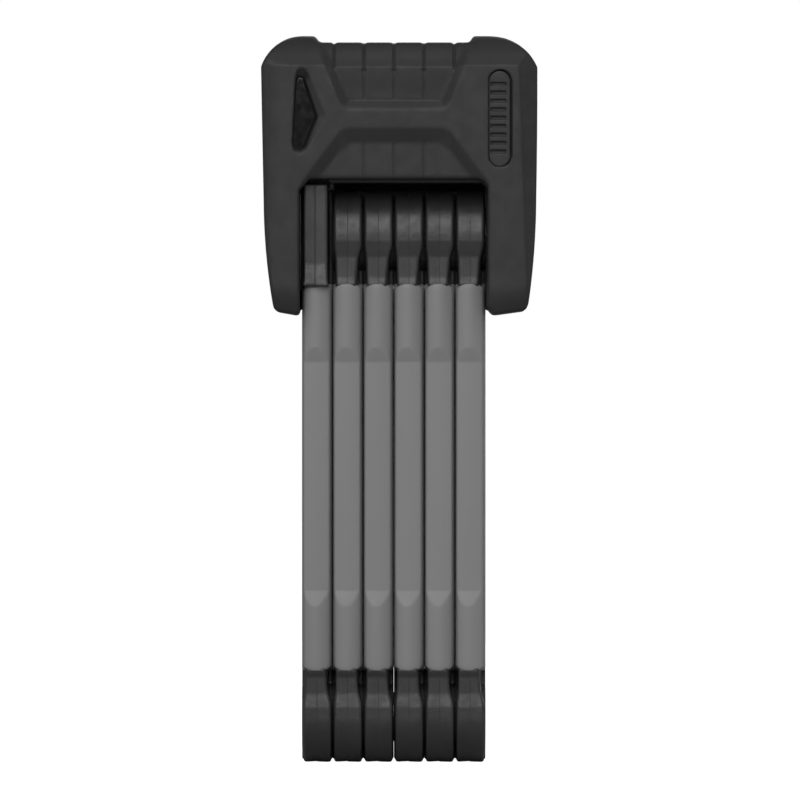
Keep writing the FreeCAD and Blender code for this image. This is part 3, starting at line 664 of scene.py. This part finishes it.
def sleeve_mesh():
    """Crowned grey cover swept up the bar, planed flat between its two ramps."""
    half_t = 0.5 * SLEEVE_T
    right, left = np.linspace(half_t, 2.4, 7), np.linspace(-2.9, -half_t, 6)
    across = np.concatenate([right, np.linspace(1.9, -2.4, 9), left])
    heights = [SLEEVE_Z[0], 27.6, 30.0, 36.0, 42.0]
    heights += list(np.linspace(LOW_RAMP_Z[0] - 0.6, LOW_RAMP_Z[1] + 0.6, 22))
    heights += list(np.linspace(55.0, 108.0, 8))
    heights += list(np.linspace(HIGH_RAMP_Z[0] - 0.6, HIGH_RAMP_Z[1] + 0.6, 22))
    heights += [121.0, 126.0, 131.0, 134.6, SLEEVE_Z[1]]
    heights = np.array(heights)
    waist = np.interp(heights, (LOW_RAMP_Z[0], LOW_RAMP_Z[1], HIGH_RAMP_Z[0], HIGH_RAMP_Z[1]),
                      (COVER_R + 0.02, WAIST_HALF_W, WAIST_HALF_W, COVER_R + 0.02))
    rings = []

    def ring(z, half_widths, inset, bow):
        shrink = (half_t - inset) / half_t
        front = [(x * shrink, -(w - inset)) for x, w in zip(across, half_widths)]
        side_x, tongue_x = half_t - inset, TONGUE_HALF_T - inset
        right = [(tongue_x, TONGUE_HALF_W - 0.5), (tongue_x, 0.5 - TONGUE_HALF_W), (side_x, -TONGUE_HALF_W)]
        left = [(-side_x, -TONGUE_HALF_W), (-tongue_x, 0.5 - TONGUE_HALF_W), (-tongue_x, TONGUE_HALF_W - 0.5)]
        back = [(x, -y) for x, y in reversed(front)]
        loop = right + front + left + [(-side_x, TONGUE_HALF_W)] + back + [(side_x, TONGUE_HALF_W)]
        rings.append([
            (x, y, z + bow * abs(x / half_t) ** 3 * float(ease((abs(y) - 7.6) / 2.0))) for x, y in loop
        ])

    lean = 0.05 * np.maximum(across + 0.5, 0.0) ** 1.6
    widths = [smooth_min(crown(across), w - lean, 0.12) for w in waist]
    for inset, rise in ((1.4, 0.0), (0.45, 0.02), (0.15, 0.16), (0.03, 0.42)):
        ring(SLEEVE_Z[0] - 0.25 + rise, widths[0], inset, 1.25)
    for z, half_widths in zip(heights[1:-1], widths[1:-1]):
        near_end = min(1.0, max(0.0, (29.0 - z) / 2.5, (z - 133.0) / 2.5))
        ring(z, half_widths, 0.0, math.copysign(near_end, 80.0 - z) if near_end else 0.0)
    for inset, fall in ((0.03, 0.42), (0.15, 0.16), (0.45, 0.02), (1.4, 0.0)):
        ring(SLEEVE_Z[1] + 0.3 - fall, widths[-1], inset, -1.45)
    count = len(rings[0])
    vertices = [point for loop in rings for point in loop]
    faces = []
    for level in range(len(rings) - 1):
        for k in range(count):
            a, b = level * count + k, level * count + (k + 1) % count
            faces.append((b, a, a + count, b + count))
    faces.append(tuple(range(count)))
    faces.append(tuple(reversed(range((len(rings) - 1) * count, len(rings) * count))))
    return np.array(vertices), faces


def cap_axes(z_low, z_high):
    """Grid of an end cap, finest at its parting line."""
    xs = spaced([(-4.9, 0.3), (-0.5, 0.14), (0.5, 0.3), (4.9, 0.3)])
    ys = spaced([(-13.6, 0.36), (13.6, 0.36)])
    zs = spaced([(z_low, 0.36), (z_high, 0.36)])
    return xs, ys, zs


def cap_fall(x):
    """Set-back of the rim: both halves fall towards the parting line, where there is a small step."""
    step = ease((x + 0.2) / 0.3)
    return (1.0 - step) * (0.26 + 0.05 * np.minimum(x, 0.0)) + step * (0.14 - 0.03 * np.maximum(x, 0.0))


def end_cap(pivot, up, ramp_s, fall, end_s, tongue_r, open_side=0, gap=0.0, skew=0.0):
    """Round black end of a bar. Distance s runs from the pivot towards the middle of the bar.

    The ramp starts and ends at ramp_s and drops by fall, the cap ends at end_s, and tongue_r rounds its
    tongue. On the open side the tongue is set back by gap and turned by skew over the depth.
    """
    z_low, z_high = sorted((pivot + up * (COVER_R + 0.9), pivot - up * (end_s + 0.9)))
    xs, ys, zs = cap_axes(z_low, z_high)
    x, y, z = xs[:, None, None], ys[None, :, None], zs[None, None, :]
    s = (pivot - z) * up
    ramp = np.clip((s - ramp_s[0]) / (ramp_s[1] - ramp_s[0]), 0.0, 1.0)
    lean = ease((s - ramp_s[0] - 0.4) / (ramp_s[1] - ramp_s[0] + 1.0))
    depth = COVER_R - fall * ramp + 0.45 * ease((s - end_s + 2.2) / 2.0)
    outline = np.where(s > 0.0, np.abs(y) - depth, np.hypot(y, s) - COVER_R) + cap_fall(x)
    waist = 4.02 - 0.95 * lean - 0.08 * np.maximum(s - ramp_s[1], 0.0)
    right = x - np.where(np.abs(y) < 10.6, np.maximum(waist, 3.06), waist)
    left = -x - (3.98 - 0.4 * lean - 0.02 * np.maximum(s - ramp_s[1], 0.0))
    body = smooth_max(outline, np.maximum(right, left), 1.0)
    radius = np.hypot(y, s)
    half = TONGUE_HALF_T + np.where(x * open_side > 0.0, skew * open_side * y - gap, 0.0)
    flat = np.abs(x) - half
    tongue = np.where(s > 0.0, flat, np.maximum(flat, radius - tongue_r))
    tongue = np.maximum(tongue, np.minimum(np.abs(y - 3.5) - 5.5, radius - 9.6))
    body = np.minimum(body, tongue)
    body = smooth_max(body, CAP_BORE_R - radius, 0.25)
    body = np.maximum(body, s - end_s - 0.5)
    return surface_net(body, (xs, ys, zs))


def tip_cap():
    """Black cover of the locking end: a block, a neck up into the head, and a pad beside the block."""
    centre = TIP_X - bar_x(BARS)
    xs = spaced([(-5.4, 0.28), (centre - 0.9, 0.14), (centre + 0.5, 0.28), (5.1, 0.28)])
    ys = spaced([(-15.2, 0.4), (15.2, 0.4)])
    zs = spaced([(135.0, 0.36), (168.2, 0.36)])
    x, y, z = xs[:, None, None], ys[None, :, None], zs[None, None, :]
    head_x = x + bar_x(BARS)
    depth = np.interp(z, (136.2, 141.7, 170.0), (14.6, 13.6, 13.6))
    step = ease((x - centre + 0.7) / 1.2)
    fall = (1.0 - step) * (0.4 + 0.08 * (x - centre)) + step * 0.14
    half = 3.25 + 0.3 * ease((137.6 - z) / 1.8)
    body = smooth_max(np.abs(y) + fall - depth, np.abs(x - centre - 0.15) - half - 0.15, 0.6)
    body = smooth_max(body, z - TIP_TOP_Z, 0.4)
    neck = overlap(slab(TIP_NECK_X[0], head_x, TIP_NECK_X[1]), np.abs(y) - 8.2, z - TIP_NECK_TOP_Z)
    corner = z - 162.55 - 1.1 * (head_x + 28.5)
    right_end = np.where(z > 162.8, -20.15, -19.0)
    pad = overlap(slab(-28.4, head_x, right_end), np.abs(y - 4.2) - 2.8, slab(135.6, z, 164.3), corner)
    body = np.minimum(body, np.minimum(neck, pad))
    return surface_net(np.maximum(body, 135.4 - z), (xs, ys, zs))


sleeve = sleeve_mesh()
upper_cap = end_cap(*UPPER_END)
lower_cap = end_cap(*LOWER_END)
upper_caps = {bar: end_cap(*UPPER_END, side, skew=UPPER_SKEW) for bar, side in OPEN_SIDES.items()}
lower_caps = {bar: end_cap(*LOWER_END, side, gap=LOWER_GAP) for bar, side in OPEN_SIDES.items()}
upper_caps[BARS] = tip_cap()
for bar in range(1, BARS + 1):
    number = str(bar)
    shift = (bar_x(bar), 0.0, 0.0)
    for label, mesh, material, node_name, slot in (
            ("sleeve_cover_", sleeve, SLEEVE, "sleeve_", "grey_sleeve"),
            ("upper_end_", upper_caps.get(bar, upper_cap), CAP, "upper_cap_", "black_cap"),
            ("lower_end_", lower_caps.get(bar, lower_cap), CAP, "lower_cap_", "black_cap")):
        add_piece(label + number, *mesh, material, "bar_" + number, [node_name + number], slot, shift)


# ---------------------------------------------------------------------- floor, lights and camera

def add_floor():
    """A plain pale disc that the lock stands on at rest. It hides what a pose swings below it."""
    mesh = bpy.data.meshes.new("floor")
    count = 96
    ring = [
        (FLOOR_R * math.cos(2.0 * math.pi * k / count), FLOOR_R * math.sin(2.0 * math.pi * k / count), 0.0)
        for k in range(count)
    ]
    mesh.from_pydata(ring, [], [tuple(range(count))])
    floor = bpy.data.objects.new("floor", mesh)
    bpy.context.collection.objects.link(floor)
    surface = Surface("floor_white", 0.9, specular=0.1)
    surface.colour(surface.ramp(surface.noise(3.0), (0.38, 0.38, 0.38, 1.0), (0.42, 0.42, 0.42, 1.0)))
    surface.shader.inputs["Emission Color"].default_value = (1.0, 1.0, 1.0, 1.0)
    seen = surface.nodes.new("ShaderNodeLightPath").outputs["Is Camera Ray"]
    surface.links.new(surface.level(seen, 0.0, 1.0, 0.0, 1.0), surface.shader.inputs["Emission Strength"])
    mesh.materials.append(surface.material)


def add_area(name, azimuth, elevation, distance, size, watts):
    """A rectangular softbox aimed at the lock. Azimuth 0 is in front, positive to the right."""
    light = bpy.data.lights.new(name, "AREA")
    light.shape = "RECTANGLE"
    light.size, light.size_y = size
    light.energy = watts
    holder = bpy.data.objects.new(name, light)
    bpy.context.collection.objects.link(holder)
    a, e = math.radians(azimuth), math.radians(elevation)
    away = Vector((math.sin(a) * math.cos(e), -math.cos(a) * math.cos(e), math.sin(e)))
    holder.location = Vector(LIGHT_TARGET) + distance * away
    holder.rotation_euler = away.to_track_quat("Z", "Y").to_euler()


def add_world():
    """White to the camera, dimmer as a light."""
    world = bpy.data.worlds.new("studio")
    bpy.context.scene.world = world
    world.use_nodes = True
    nodes, links = world.node_tree.nodes, world.node_tree.links
    nodes.clear()
    seen = nodes.new("ShaderNodeBackground")
    seen.inputs["Strength"].default_value = 1.0
    seen.inputs["Color"].default_value = (1.0, 1.0, 1.0, 1.0)
    fill = nodes.new("ShaderNodeBackground")
    fill.inputs["Strength"].default_value = 0.12
    fill.inputs["Color"].default_value = (1.0, 1.0, 1.0, 1.0)
    path = nodes.new("ShaderNodeLightPath")
    mix = nodes.new("ShaderNodeMixShader")
    out = nodes.new("ShaderNodeOutputWorld")
    links.new(path.outputs["Is Camera Ray"], mix.inputs["Fac"])
    links.new(fill.outputs["Background"], mix.inputs[1])
    links.new(seen.outputs["Background"], mix.inputs[2])
    links.new(mix.outputs["Shader"], out.inputs["Surface"])


def add_camera():
    """A long lens, level and straight in front of the lock."""
    camera = bpy.data.cameras.new("camera")
    camera.lens = CAMERA_LENS
    camera.sensor_width = 36.0
    camera.clip_start = 0.05
    holder = bpy.data.objects.new("camera", camera)
    bpy.context.collection.objects.link(holder)
    holder.location = CAMERA_AT
    holder.rotation_euler = (math.radians(90.0), 0.0, 0.0)
    bpy.context.scene.camera = holder


add_floor()
add_world()
add_camera()
add_area("key", -5.0, 32.0, 1.2, (0.85, 1.2), 8.7)
add_area("left", -80.0, 12.0, 1.3, (0.6, 1.0), 1.4)
add_area("right", 85.0, 12.0, 1.3, (0.8, 1.0), 2.0)
add_area("rear", 170.0, 14.0, 1.4, (1.2, 0.9), 3.5)
add_area("top", 0.0, 88.0, 1.0, (0.9, 0.6), 0.6)
bpy.context.scene.view_settings.view_transform = "Standard"
